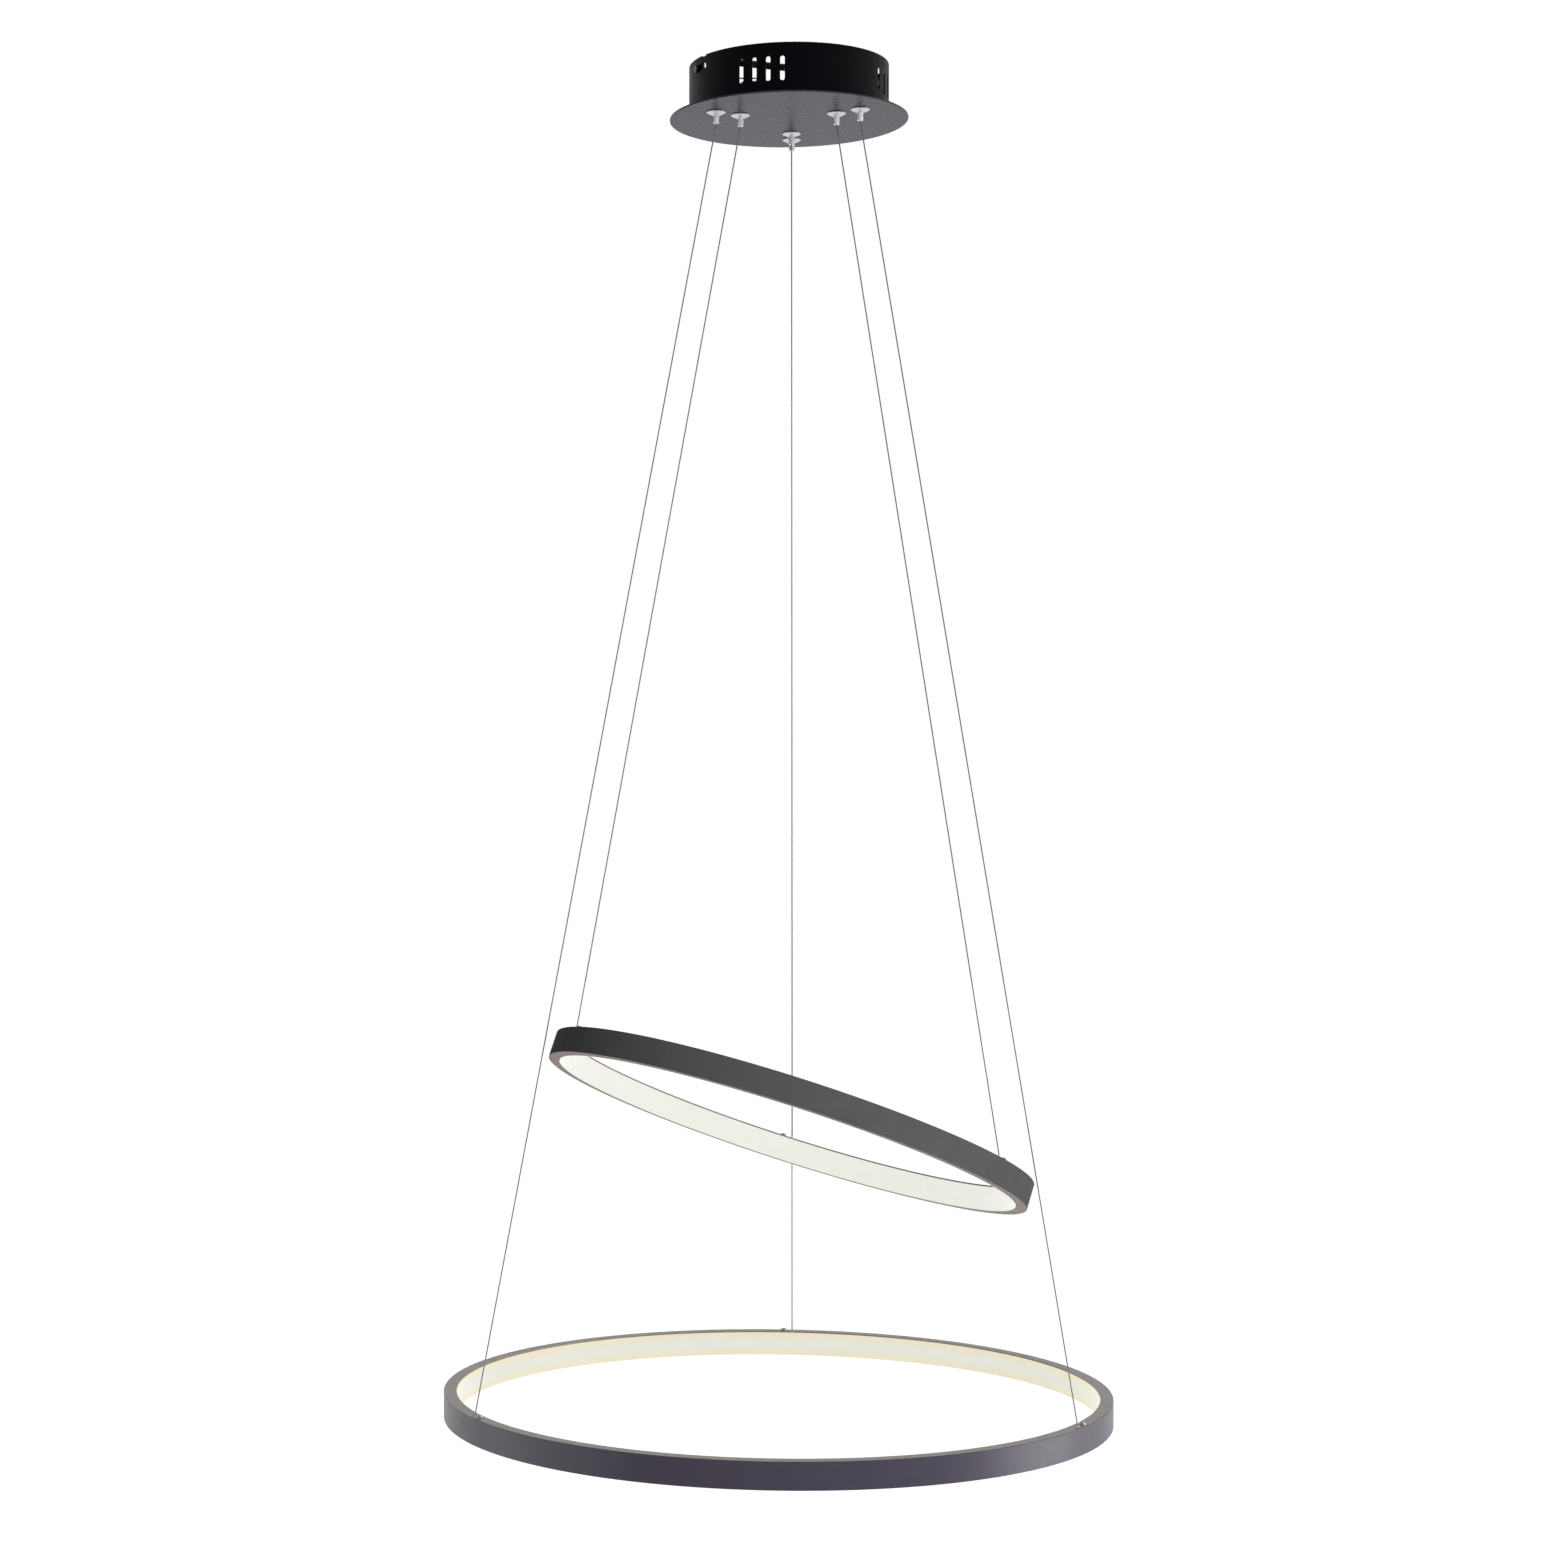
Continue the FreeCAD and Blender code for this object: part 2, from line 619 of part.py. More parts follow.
def output_lead(name, place):
    """One lead from a wire's crimp, up and over into the driver's lid."""
    half_width = DRIVER_SIZE[0] / 2 - LEAD_LANDING_INSET
    half_length = DRIVER_SIZE[1] / 2 - LEAD_LANDING_INSET
    x = max(-half_width, min(half_width, place.x))
    y = max(DRIVER_CENTRE_Y - half_length, min(DRIVER_CENTRE_Y + half_length, place.y))
    start = V(place.x, place.y, CRIMP_BOTTOM + CRIMP_LENGTH / 2)
    top = CRIMP_TOP + LEAD_RISE
    route = [start, V(place.x, place.y, top), V(x, y, top), V(x, y, DRIVER_TOP)]
    bend = LEAD_BEND_SHARE * LEAD_RISE
    return bent_tube(name, route, bend, LEAD_RADIUS)


def wire_crimp():
    """The sleeve that joins a suspension wire's end to its lead."""
    bore = LEAD_RADIUS + CRIMP_BORE_CLEARANCE
    return tube(CRIMP_RADIUS, bore, CRIMP_BOTTOM, CRIMP_TOP)


def ring_placement(ring):
    """Moves a shape from the ring's own frame, top face at z = 0, to where the ring hangs."""
    normal = V(ring["normal"])
    normal.normalize()
    return FreeCAD.Placement(ring["top_centre"], FreeCAD.Rotation(UP, normal))


def hung(shape, ring):
    """A copy of a shape made in the ring's own frame, where the ring hangs."""
    copy = shape.copy()
    copy.Placement = ring_placement(ring).multiply(copy.Placement)
    return copy


def ring_profile(ring):
    """The bent channel, drilled through its top flange for each wire's bush and screw."""
    outer = ring["radius"]
    inner = outer - RING_WIDTH
    lip = outer - LOWER_LIP
    web = outer - RING_WALL
    rib_out = outer - RIB_INSET
    rib_in = rib_out - RIB_WIDTH
    top, bottom = -RING_WALL, -RING_HEIGHT + RING_WALL
    channel = revolved([
        (outer, 0, RING_EDGE_ROUND),
        (outer, -RING_HEIGHT, RING_EDGE_ROUND),
        (lip, -RING_HEIGHT, 0),
        (lip, bottom, 0),
        (rib_in, bottom, 0),
        (rib_in, bottom + RIB_HEIGHT, 0),
        (rib_out, bottom + RIB_HEIGHT, 0),
        (rib_out, bottom, 0),
        (web, bottom, 0),
        (web, top, 0),
        (rib_out, top, 0),
        (rib_out, top - RIB_HEIGHT, 0),
        (rib_in, top - RIB_HEIGHT, 0),
        (rib_in, top, 0),
        (inner, top, 0),
        (inner, 0, 0),
    ])
    cutters = []
    for angle in ring["anchor_angles"].values():
        for radius, along in ((BUSH_RADIUS, 0), (CLAMP_SCREW_RADIUS, CLAMP_SCREW_SPACING)):
            place = V(0, along, -RING_WALL)
            hole = Part.makeCylinder(radius + FLANGE_HOLE_CLEARANCE, RING_WALL, place)
            cutters.append(at_anchor(hole, ring, angle))
    return channel.cut(cutters)


def at_anchor(shape, ring, angle):
    """A shape made round the wire, with +X outward and +Y along the ring, set at an anchor."""
    return turned(moved(shape, V(ring["radius"] - ANCHOR_INSET, 0, 0)), angle)


def ring_diffuser(ring):
    """The opal band that closes the channel, with a foot that hides the lower lip's edge."""
    face = ring["radius"] - DIFFUSER_INSET
    back = face + DIFFUSER_THICKNESS
    foot = ring["radius"] - LOWER_LIP - DIFFUSER_FIT
    top = -RING_WALL - DIFFUSER_FIT
    on_lip = -RING_HEIGHT + RING_WALL
    return revolved([
        (face, top, 0),
        (back, top, 0),
        (back, on_lip, 0),
        (foot, on_lip, 0),
        (foot, -RING_HEIGHT, 0),
        (face, -RING_HEIGHT, 0),
    ])


def led_strip(ring):
    """The flexible board on the inside of the channel's web, open at its seam."""
    outer = ring["radius"] - RING_WALL - TAPE_THICKNESS
    inner = outer - STRIP_THICKNESS
    low = -(RING_HEIGHT + STRIP_HEIGHT) / 2
    strip = tube(outer, inner, low, low + STRIP_HEIGHT, 360 - STRIP_SEAM_ANGLE)
    return turned(strip, STRIP_SEAM_ANGLE / 2)


def leds(ring):
    """The LED packages along the strip, facing the ring's axis."""
    length, thickness, height = LED_SIZE
    back = ring["radius"] - RING_WALL - TAPE_THICKNESS - STRIP_THICKNESS - SOLDER_GAP
    count = int(2 * math.pi * back / LED_PITCH)
    corner = V(back - thickness, -length / 2, -(RING_HEIGHT + height) / 2)
    package = Part.makeBox(thickness, length, height, corner)
    return Part.makeCompound([turned(package, 360 / count * (i + 0.5)) for i in range(count)])


def clamp_block():
    """The block under the top flange, with the wire's throat and socket and the screw's thread."""
    outward = ANCHOR_INSET - BLOCK_OUTER_INSET
    corner = V(outward - BLOCK_WIDTH, -BLOCK_BEFORE_WIRE, BLOCK_TOP - BLOCK_HEIGHT)
    block = Part.makeBox(BLOCK_WIDTH, BLOCK_LENGTH, BLOCK_HEIGHT, corner)
    socket_depth = BLOCK_HEIGHT - THROAT_DEPTH
    bottom = BLOCK_TOP - BLOCK_HEIGHT
    throat = Part.makeCylinder(THROAT_RADIUS, BLOCK_HEIGHT, V(0, 0, bottom))
    socket = Part.makeCylinder(STOP_RADIUS + STOP_CLEARANCE, socket_depth, V(0, 0, bottom))
    thread_radius = CLAMP_SCREW_RADIUS + THREAD_CLEARANCE
    thread = Part.makeCylinder(thread_radius, BLOCK_HEIGHT, V(0, CLAMP_SCREW_SPACING, bottom))
    return block.cut([throat, socket, thread])


def clamp_screw():
    """The pan-head screw beside the wire, with a socket in its head."""
    tip = BLOCK_TOP - BLOCK_HEIGHT
    head = CLAMP_SCREW_HEAD_HEIGHT
    screw = revolved([
        (0, tip, 0),
        (CLAMP_SCREW_RADIUS, tip, 0),
        (CLAMP_SCREW_RADIUS, 0, 0),
        (CLAMP_SCREW_HEAD_RADIUS, 0, 0),
        (CLAMP_SCREW_HEAD_RADIUS, head, CLAMP_SCREW_HEAD_ROUND),
        (0, head, 0),
    ])
    depth = CLAMP_SCREW_RECESS_DEPTH
    recess = hexagon_bar(CLAMP_SCREW_RECESS_FLATS, head - depth, depth)
    return moved(screw.cut(recess), V(0, CLAMP_SCREW_SPACING, 0))


def wire_bush():
    """The insulating bush in the top flange, with a mouth that widens upwards."""
    return revolved([
        (BUSH_BORE_RADIUS, -RING_WALL, 0),
        (BUSH_RADIUS, -RING_WALL, 0),
        (BUSH_RADIUS, 0, 0),
        (BUSH_HEAD_RADIUS, 0, 0),
        (BUSH_HEAD_RADIUS, BUSH_HEAD_HEIGHT, 0),
        (BUSH_MOUTH_RADIUS, BUSH_HEAD_HEIGHT, 0),
    ])


def wire_stop():
    """The ball crimped on the wire's end, in its socket."""
    ball = Part.makeSphere(STOP_RADIUS, V(0, 0, STOP_LEVEL))
    bore = WIRE_RADIUS + STOP_BORE_CLEARANCE
    start = V(0, 0, STOP_LEVEL - STOP_RADIUS)
    return ball.cut(Part.makeCylinder(bore, 2 * STOP_RADIUS, start))


def anchor_point(ring, angle, level):
    """A point over an anchor, at a level in the ring's own frame, where the ring hangs."""
    return ring_placement(ring).multVec(in_plan(ring["radius"] - ANCHOR_INSET, angle, level))


def wire_route(name, side):
    """Crimp, bend under the grip, bend over the ring's bush, and the stop ball's underside."""
    ring = RINGS[name]
    grip = in_plan(ring["grip_circle"], ring["grip_angles"][side])
    angle = ring["anchor_angles"][side]
    return [
        grip + V(0, 0, CRIMP_BOTTOM + CRIMP_LENGTH / 2 - WIRE_TO_LEAD_GAP),
        grip + V(0, 0, PLUNGER_TIP - BEND_STANDOFF),
        anchor_point(ring, angle, BEND_LEVEL),
        anchor_point(ring, angle, STOP_LEVEL - STOP_RADIUS),
    ]


def canopy_pieces():
    """The canopy, its bracket and what it holds, without the grips."""
    places = grip_places()
    leads = [output_lead(f"lead {ring} {side}", at) for (ring, side), at in places.items()]
    return {
        "ceiling_bracket": ceiling_bracket(),
        "bracket_screws": Part.makeCompound(
            [turned(side_screw(), STRAP_ANGLE + side) for side in (0, 180)]
        ),
        "canopy_cup": canopy_cup(),
        "canopy_plate": canopy_plate(),
        "driver_case": driver_case(),
        "driver_lid": driver_lid(),
        "driver_pads": driver_pads(),
        "terminal_block": terminal_block(),
        "input_leads": input_leads(),
        "earth_stud": earth_stud(),
        "earth_lead": earth_lead(),
        "output_leads": Part.makeCompound(leads),
        "wire_crimps": Part.makeCompound([moved(wire_crimp(), at) for at in places.values()]),
    }


def grip_pieces():
    """The six grips: shared nodes for what is fixed, and one of each for what moves."""
    places = grip_places()
    fixed = {"grip_bodies": grip_body(), "grip_nuts": grip_nut(), "grip_caps": grip_cap()}
    pieces = {
        name: Part.makeCompound([moved(shape, at) for at in places.values()])
        for name, shape in fixed.items()
    }
    moving = {"plunger": grip_plunger(), "balls": grip_balls(), "spring": grip_spring()}
    for (ring, side), at in places.items():
        for name, shape in moving.items():
            pieces[f"{ring}_{side}_grip_{name}"] = moved(shape, at)
    return pieces


def ring_pieces(name):
    """One ring with its diffuser, LEDs and wire clamps."""
    ring = RINGS[name]
    whole = {
        "profile": ring_profile(ring),
        "diffuser": ring_diffuser(ring),
        "led_strip": led_strip(ring),
        "leds": leds(ring),
    }
    pieces = {f"{name}_{part}": hung(shape, ring) for part, shape in whole.items()}
    at_wires = {
        "clamp_blocks": (clamp_block, ("back", "left", "right")),
        "clamp_screws": (clamp_screw, ("back", "left", "right")),
        "wire_bushes": (wire_bush, ("back", "left", "right")),
        "front_stops": (wire_stop, ("left", "right")),
        "back_stop": (wire_stop, ("back",)),
    }
    for part, (make, sides) in at_wires.items():
        solids = [at_anchor(make(), ring, ring["anchor_angles"][side]) for side in sides]
        pieces[f"{name}_{part}"] = hung(Part.makeCompound(solids), ring)
    return pieces


def wire_pieces():
    """The six suspension wires."""
    pieces = {}
    for name, ring in RINGS.items():
        for side in ring["anchor_angles"]:
            node = f"{name}_{side}_wire"
            pieces[node] = bent_tube(node, wire_route(name, side), WIRE_BEND, WIRE_RADIUS)
    return pieces


def main():
    os.makedirs("parts", exist_ok=True)
    pieces = {**canopy_pieces(), **grip_pieces(), **wire_pieces()}
    for name in RINGS:
        pieces.update(ring_pieces(name))
    for node, shape in pieces.items():
        if not shape.isValid():
            print(f"{node} is not valid")
        shape.exportStep(f"parts/{node}.step")
    print(f"{len(pieces)} nodes")


main()
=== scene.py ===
import json
import math

import bpy
import bmesh
from mathutils import Matrix, Vector


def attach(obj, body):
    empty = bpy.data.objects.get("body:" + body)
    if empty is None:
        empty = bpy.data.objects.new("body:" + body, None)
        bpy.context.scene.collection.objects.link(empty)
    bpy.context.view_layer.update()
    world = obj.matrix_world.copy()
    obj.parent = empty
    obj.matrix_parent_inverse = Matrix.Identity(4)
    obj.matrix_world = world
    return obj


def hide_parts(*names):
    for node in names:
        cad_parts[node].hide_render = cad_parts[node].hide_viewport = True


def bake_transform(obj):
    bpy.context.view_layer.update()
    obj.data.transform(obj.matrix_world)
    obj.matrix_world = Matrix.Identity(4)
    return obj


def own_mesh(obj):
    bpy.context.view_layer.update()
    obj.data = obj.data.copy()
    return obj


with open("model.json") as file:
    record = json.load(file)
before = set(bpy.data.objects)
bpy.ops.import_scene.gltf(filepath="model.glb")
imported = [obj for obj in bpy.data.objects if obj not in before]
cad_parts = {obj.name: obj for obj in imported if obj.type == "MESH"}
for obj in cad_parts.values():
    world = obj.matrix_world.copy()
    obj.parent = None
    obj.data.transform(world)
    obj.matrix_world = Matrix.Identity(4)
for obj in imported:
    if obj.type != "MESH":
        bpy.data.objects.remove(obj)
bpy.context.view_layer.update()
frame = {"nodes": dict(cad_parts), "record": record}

nodes = frame["nodes"]

# ---------------------------------------------------------------- camera
camera_data = bpy.data.cameras.new("camera")
camera_data.lens = 67.53
camera_data.sensor_width = 36.0
camera_data.shift_x = 0.130
camera_data.shift_y = 0.0187
camera_data.clip_start = 0.05
camera_data.clip_end = 100.0
camera = bpy.data.objects.new("camera", camera_data)
camera.location = (-0.1908, -2.646, -0.6712)
camera.rotation_euler = (math.radians(90), math.radians(-0.05), 0)
bpy.context.collection.objects.link(camera)
bpy.context.scene.camera = camera

# ---------------------------------------------------------------- where things are
# The same sizes as in the part's source, in metres and degrees. A level is a height: the canopy's
# are measured from the ceiling, and a ring's from its own top face.
SIDES = ("back", "left", "right")
WIRE_RADIUS = 0.0006
WIRE_TOP_LEVEL = -0.02945
GRIP_TIP_LEVEL = -0.0596
ANCHOR_INSET = 0.0059
MOUTH_LEVEL = 0.0011
WIRE_END_LEVEL = -0.0047
BAND_MIDDLE_LEVEL = -0.01235

# Each ring's wires start at its grips, on a circle under the canopy, and end at its anchors. Both are
# angles from +x. A split is how far above its ring a wire is divided in two. The back wires' lower
# pieces are longer, because they take up the ring's tilt.
RINGS = {
    "lower": {
        "radius": 0.300,
        "centre": Vector((-0.0105, 0.0, -1.1935)),
        "normal": Vector((0, 0, 1)),
        "grip_circle": 0.075,
        "grips": {"back": 83.8, "left": 206.3, "right": 323.5},
        "anchors": {"back": 83.0, "left": 204.5, "right": 326.2},
        "splits": {"back": 0.16, "left": 0.03, "right": 0.03},
    },
    "upper": {
        "radius": 0.225,
        "centre": Vector((0.0047, 0.0046, -0.9429)),
        "normal": Vector((0.334, 0.209, 1.0)).normalized(),
        "grip_circle": 0.050,
        "grips": {"back": 83.0, "left": 206.0, "right": 324.0},
        "anchors": {"back": 84.0, "left": 198.0, "right": 321.2},
        "splits": {"back": 0.70, "left": 0.03, "right": 0.03},
    },
}


def in_plan(radius, angle, z=0.0):
    a = math.radians(angle)
    return Vector((radius * math.cos(a), radius * math.sin(a), z))


def ring_matrix(ring):
    turn = Vector((0, 0, 1)).rotation_difference(ring["normal"]).to_matrix().to_4x4()
    return Matrix.Translation(ring["centre"]) @ turn


def at_anchor(ring, side, level):
    place = in_plan(ring["radius"] - ANCHOR_INSET, ring["anchors"][side], level)
    return ring_matrix(ring) @ place


# ---------------------------------------------------------------- mesh helpers
MERGE_DISTANCE = 1e-7
SHARP_ANGLE = 35.0


def add_object(name, mesh):
    obj = bpy.data.objects.new(name, mesh)
    bpy.context.collection.objects.link(obj)
    return obj


def from_bmesh(name, bm):
    bmesh.ops.remove_doubles(bm, verts=bm.verts, dist=MERGE_DISTANCE)
    bmesh.ops.recalc_face_normals(bm, faces=bm.faces)
    mesh = bpy.data.meshes.new(name)
    bm.to_mesh(mesh)
    bm.free()
    for polygon in mesh.polygons:
        polygon.use_smooth = True
    mesh.set_sharp_from_angle(angle=math.radians(SHARP_ANGLE))
    return add_object(name, mesh)


def tube_along(bm, points, radius, sides=10):
    """A round tube through points, with lengthwise texture coordinates in metres."""
    uv = bm.loops.layers.uv.verify()
    rings, travelled = [], []
    normal = None
    length = 0.0
    for i, point in enumerate(points):
        ahead = points[min(i + 1, len(points) - 1)] - points[max(i - 1, 0)]
        ahead.normalize()
        if normal is None:
            normal = ahead.orthogonal().normalized()
        normal = (normal - ahead * normal.dot(ahead)).normalized()
        across = ahead.cross(normal)
        if i:
            length += (point - points[i - 1]).length
        travelled.append(length)
        rings.append([
            bm.verts.new(point + radius * (math.cos(t) * normal + math.sin(t) * across))
            for t in (2 * math.pi * k / sides for k in range(sides))
        ])
    for i in range(len(rings) - 1):
        for k in range(sides):
            j = (k + 1) % sides
            face = bm.faces.new((rings[i][k], rings[i][j], rings[i + 1][j], rings[i + 1][k]))
            spots = ((k, i), (k + 1, i), (k + 1, i + 1), (k, i + 1))
            for loop, (around, along) in zip(face.loops, spots):
                loop[uv].uv = (around / sides, travelled[along])
    bm.faces.new(list(reversed(rings[0])))
    bm.faces.new(rings[-1])


# ---------------------------------------------------------------- suspension wires
STRAIGHT_START = 6 * 2 * WIRE_RADIUS
AT_AN_END = 1e-5


def wire_points(route, name):
    """Points on the smooth line through a wire's route."""
    curve = bpy.data.curves.new(name, "CURVE")
    curve.dimensions = "3D"
    spline = curve.splines.new("NURBS")
    spline.points.add(len(route) - 1)
    for control, place in zip(spline.points, route):
        control.co = (*place, 1.0)
    spline.order_u = 3
    spline.use_endpoint_u = True
    holder = add_object(name, curve)
    bpy.context.view_layer.update()
    mesh = bpy.data.meshes.new_from_object(holder)
    points = [vertex.co.copy() for vertex in mesh.vertices]
    bpy.data.objects.remove(holder)
    bpy.data.curves.remove(curve)
    bpy.data.meshes.remove(mesh)
    return points


def wire_piece(name, node, points, start, end):
    """One taut wire. Its straight run has no rings, so it stays straight at every pose."""
    run = end - start

    def between(point):
        share = (point - start).dot(run) / run.length_squared
        return AT_AN_END < share < 1 - AT_AN_END

    bm = bmesh.new()
    tube_along(bm, [point for point in points if not between(point)], WIRE_RADIUS)
    piece = from_bmesh(name, bm)
    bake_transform(piece)
    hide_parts(node)
    return piece


# Each wire is made as an upper piece and a lower one, divided at its split.
wires = []
for ring_name, ring in RINGS.items():
    for side in SIDES:
        grip = in_plan(ring["grip_circle"], ring["grips"][side])
        top = grip + Vector((0, 0, WIRE_TOP_LEVEL))
        leaving = grip + Vector((0, 0, GRIP_TIP_LEVEL))
        above = leaving + Vector((0, 0, STRAIGHT_START))
        mouth = at_anchor(ring, side, MOUTH_LEVEL)
        bottom = at_anchor(ring, side, WIRE_END_LEVEL)
        run = (mouth - leaving).normalized() * STRAIGHT_START
        split = mouth - run.normalized() * ring["splits"][side]
        name = f"{ring_name}_{side}_hung_wire"
        node = f"{ring_name}_{side}_wire"
        points = wire_points([top, above, leaving, leaving + run, split], name)
        wires.append(wire_piece(name, node, points, leaving + run, split))
        name += "_end"
        points = wire_points([split, mouth - run, mouth, bottom], name)
        wires.append(wire_piece(name, node, points, split, mouth - run / 2))


# ---------------------------------------------------------------- node helpers
class Nodes:
    """Short ways to add nodes to a tree. Each input is a value or another node's output."""

    def __init__(self, tree):
        self.tree = tree

    def put(self, value, socket):
        if isinstance(value, bpy.types.NodeSocket):
            self.tree.links.new(value, socket)
        else:
            socket.default_value = value

    def node(self, kind, **inputs):
        made = self.tree.nodes.new(kind)
        for key, value in inputs.items():
            self.put(value, made.inputs[key.replace("_", " ")])
        return made

    def maths(self, operation, *values):
        made = self.tree.nodes.new("ShaderNodeMath")
        made.operation = operation
        for value, socket in zip(values, made.inputs):
            self.put(value, socket)
        return made.outputs[0]

    def vector_maths(self, operation, *vectors):
        made = self.tree.nodes.new("ShaderNodeVectorMath")
        made.operation = operation
        for value, socket in zip(vectors, made.inputs):
            self.put(value, socket)
        return made.outputs["Value" if operation == "DOT_PRODUCT" else "Vector"]

    def scaled(self, colour, amount):
        made = self.tree.nodes.new("ShaderNodeVectorMath")
        made.operation = "SCALE"
        self.put(colour, made.inputs[0])
        self.put(amount, made.inputs["Scale"])
        return made.outputs["Vector"]

    def ranged(self, value, low, high, start=0.3, stop=0.7, shape="LINEAR"):
        """From low to high while the value goes from start to stop."""
        made = self.node(
            "ShaderNodeMapRange", Value=value, From_Min=start, From_Max=stop, To_Min=low, To_Max=high
        )
        made.interpolation_type = shape
        return made.outputs["Result"]

    def mixed(self, factor, first, second):
        """A colour between two colours."""
        made = self.tree.nodes.new("ShaderNodeMix")
        made.data_type = "RGBA"
        self.put(factor, made.inputs[0])
        for index, colour in ((6, first), (7, second)):
            self.put((*colour, 1.0), made.inputs[index])
        return made.outputs[2]

    def mixed_number(self, factor, first, second):
        made = self.tree.nodes.new("ShaderNodeMix")
        self.put(factor, made.inputs[0])
        self.put(first, made.inputs[2])
        self.put(second, made.inputs[3])
        return made.outputs[0]


class Shader(Nodes):
    """A material on one Principled shader. Noise scales are in cells per metre."""

    def __init__(self, name):
        self.material = bpy.data.materials.new(name)
        self.material.use_nodes = True
        super().__init__(self.material.node_tree)
        self.main = self.tree.nodes["Principled BSDF"]
        self.position = self.tree.nodes.new("ShaderNodeTexCoord").outputs["Object"]

    def link(self, output, name):
        self.tree.links.new(output, self.main.inputs[name])

    def values(self, **inputs):
        for key, value in inputs.items():
            self.main.inputs[key.replace("_", " ")].default_value = value

    def stretched(self, scale):
        """The position, scaled by a different amount along each axis."""
        return self.node("ShaderNodeMapping", Vector=self.position, Scale=scale).outputs["Vector"]

    def noise(self, scale, detail=3.0, vector=None):
        made = self.node(
            "ShaderNodeTexNoise", Vector=vector or self.position, Scale=scale, Detail=detail
        )
        return made.outputs["Fac"]

    def cells(self, scale):
        return self.node("ShaderNodeTexVoronoi", Vector=self.position, Scale=scale)

    def mottled(self, colour, factor, darker, lighter):
        """A colour that wanders between a darker and a lighter shade of itself."""
        shades = (tuple(min(1.0, c * amount) for c in colour) for amount in (darker, lighter))
        self.link(self.mixed(factor, *shades), "Base Color")

    def rough(self, middle, factor, down, up, start=0.3, stop=0.7):
        """Roughness that wanders a little below and above its middle."""
        self.link(self.ranged(factor, middle - down, middle + up, start, stop), "Roughness")

    def bump(self, height, strength, distance, edge=0.0):
        """Fine relief, and edges rounded by the given radius."""
        made = self.node("ShaderNodeBump", Height=height, Strength=strength, Distance=distance)
        if edge:
            rounded = self.node("ShaderNodeBevel", Radius=edge)
            rounded.samples = 4
            self.tree.links.new(rounded.outputs["Normal"], made.inputs["Normal"])
        self.link(made.outputs["Normal"], "Normal")


# ---------------------------------------------------------------- materials
PAINT_CLOUDS = 38.0
PAINT_SHEEN = 210.0
FINE_GRAIN = 2600.0


def painted(name, colour, rough, specular, grain=0.00008):
    """Sprayed paint: a fine orange peel, faint mottling and slightly uneven gloss."""
    s = Shader(name)
    s.mottled(colour, s.ranged(s.noise(PAINT_CLOUDS, 4.0), 0.0, 1.0), darker=0.95, lighter=1.05)
    s.rough(rough, s.noise(PAINT_SHEEN, 5.0), down=0.04, up=0.04)
    s.values(Specular_IOR_Level=specular)
    s.bump(s.noise(FINE_GRAIN, 2.0), 0.05, grain, edge=0.0003)
    return s.material


def ring_paint_with_painted_light(name, colour, lit_edge_colour, ring, rough, specular, ior=1.5):
    """Paint on a ring, with painted light: its top, bottom and inner faces are lighter than its outer
    band.
    """
    s = Shader(name)
    facing = s.tree.nodes.new("ShaderNodeTexCoord").outputs["Normal"]
    outward = s.vector_maths("NORMALIZE", s.vector_maths("SUBTRACT", s.position, ring["centre"]))
    faces_out = s.vector_maths("DOT_PRODUCT", facing, outward)
    # Faces that don't face outward get the lighter tone: painted light, standing in for light from
    # above and below.
    band = s.ranged(faces_out, 0.0, 1.0, start=0.45, stop=0.85)
    clouds = s.ranged(s.noise(PAINT_CLOUDS, 4.0), 0.95, 1.05)
    s.link(s.scaled(s.mixed(band, lit_edge_colour, colour), clouds), "Base Color")
    s.rough(rough, s.noise(PAINT_SHEEN, 5.0), down=0.04, up=0.04)
    s.values(Specular_IOR_Level=specular, IOR=ior)
    s.bump(s.noise(FINE_GRAIN, 2.0), 0.05, 0.00008, edge=0.0003)
    return s.material


def turned_metal(name, colour, rough, axis=(0, 0, 1), metal=1.0):
    """Turned and plated metal, with fine tool lines square to an axis."""
    across_lines, along_lines = 9000.0, 30.0
    s = Shader(name)
    scale = tuple(across_lines if a else along_lines for a in axis)
    grooves = s.noise(1.0, 2.0, s.stretched(scale))
    s.mottled(colour, s.ranged(s.noise(160.0, 4.0), 0.0, 1.0), darker=0.93, lighter=1.04)
    s.rough(rough, grooves, down=0.05, up=0.07)
    s.values(Metallic=metal)
    s.bump(grooves, 0.10, 0.00005, edge=0.0002)
    return s.material


def moulded(name, colour, rough, edge=0.0004):
    """Moulded plastic: a spark-eroded grain and faint flow mottling."""
    s = Shader(name)
    s.mottled(colour, s.ranged(s.noise(55.0), 0.0, 1.0), darker=0.95, lighter=1.05)
    s.rough(rough, s.noise(300.0), down=0.06, up=0.06)
    s.bump(s.noise(FINE_GRAIN, 2.0), 0.25, 0.00006, edge)
    return s.material


def zinc(name, colour, rough):
    """Galvanised sheet, with faint crystals and rolling lines."""
    s = Shader(name)
    tint = s.cells(340.0).outputs["Color"]
    tone = s.node("ShaderNodeSeparateColor", Color=tint).outputs["Red"]
    s.mottled(colour, tone, darker=0.86, lighter=1.1)
    s.rough(rough, tone, down=0.06, up=0.08, start=0.0, stop=1.0)
    s.values(Metallic=1.0)
    rolling_lines = s.noise(1.0, 3.0, s.stretched((400.0, 2600.0, 400.0)))
    s.bump(rolling_lines, 0.15, 0.00005, edge=0.0002)
    return s.material


def foam_rubber(name, colour):
    """Closed-cell foam tape."""
    s = Shader(name)
    depth = s.cells(1600.0).outputs["Distance"]
    # Darker in each cell's pit and lighter on its rim, following the relief: painted shade.
    s.mottled(colour, depth, darker=0.6, lighter=1.3)
    s.values(Roughness=0.92)
    s.bump(depth, 0.5, 0.0002)
    return s.material


